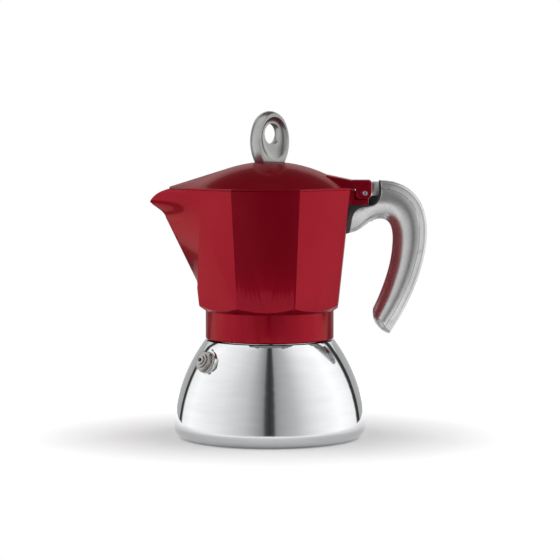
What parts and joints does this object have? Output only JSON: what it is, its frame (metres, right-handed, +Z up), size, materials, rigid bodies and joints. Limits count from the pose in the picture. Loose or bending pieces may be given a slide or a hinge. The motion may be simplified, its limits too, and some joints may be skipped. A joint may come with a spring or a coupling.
{
  "type": "moka pot",
  "caption": "Stove-top moka pot: polished bell-shaped boiler, screw-on red octagonal collector with spout, hinged domed lid with ring knob, and a hooked grey handle.",
  "frame": {"origin": "middle of the boiler's flat base", "axes": "+Z up, -X towards the spout, +X towards the handle, -Y out of the front facet"},
  "size_m": [0.166, 0.115, 0.1957],
  "materials": {
    "polished_steel": "polished",
    "red_lacquer": "satin lacquer",
    "grey_plastic": "satin",
    "black_plastic": "satin",
    "bare_aluminium": "matt",
    "nickel_brass": "nickel plated",
    "spring_steel": "plain",
    "seal_rubber": "matt"
  },
  "bodies": {
    "boiler": {"boiler_shell": "polished_steel", "valve_body": "nickel_brass", "valve_washer": "seal_rubber", "valve_nut": "nickel_brass", "valve_seat": "nickel_brass"},
    "valve": {"valve_plunger": "nickel_brass", "valve_spring": "spring_steel"},
    "funnel": {"funnel_body": "bare_aluminium", "funnel_sieve": "bare_aluminium"},
    "seal": {"gasket": "seal_rubber", "filter_plate": "bare_aluminium"},
    "collector": {"collector_body": "red_lacquer", "riser_column": "bare_aluminium", "hinge_pin": "spring_steel", "handle_grip": "grey_plastic", "handle_spine": "grey_plastic", "handle_liner": "black_plastic", "handle_screw": "spring_steel"},
    "lid": {"lid_shell": "red_lacquer", "lid_knob": "grey_plastic", "knob_screw": "spring_steel", "knob_washer": "spring_steel"}
  },
  "joints": [
    {"name": "valve_relief", "type": "slide", "parent": "boiler", "child": "valve", "axis": [-0.7103, -0.596, 0.3746], "range_m": [0, 0.0015], "stiffness_N_per_m": 2000},
    {"name": "lift_off", "type": "slide", "parent": "boiler", "child": "funnel", "axis": [0, 0, 1], "range_m": [0, 0.075]},
    {"name": "rise", "type": "slide", "parent": "funnel", "child": "seal", "axis": [0, 0, 1], "range_m": [0, 0.0095]},
    {"name": "unscrew", "type": "hinge", "parent": "seal", "child": "collector", "pos_m": [0, 0, 0.06], "axis": [0, 0, 1], "range_deg": [0, 1080]},
    {"name": "lid_hinge", "type": "hinge", "parent": "collector", "child": "lid", "pos_m": [0.05721, 0, 0.1471], "axis": [0, 1, 0], "range_deg": [0, 90]}
  ],
  "couplings": [
    {"joint": "rise", "follows": "unscrew", "m_per_rad": 0.00047746}
  ]
}
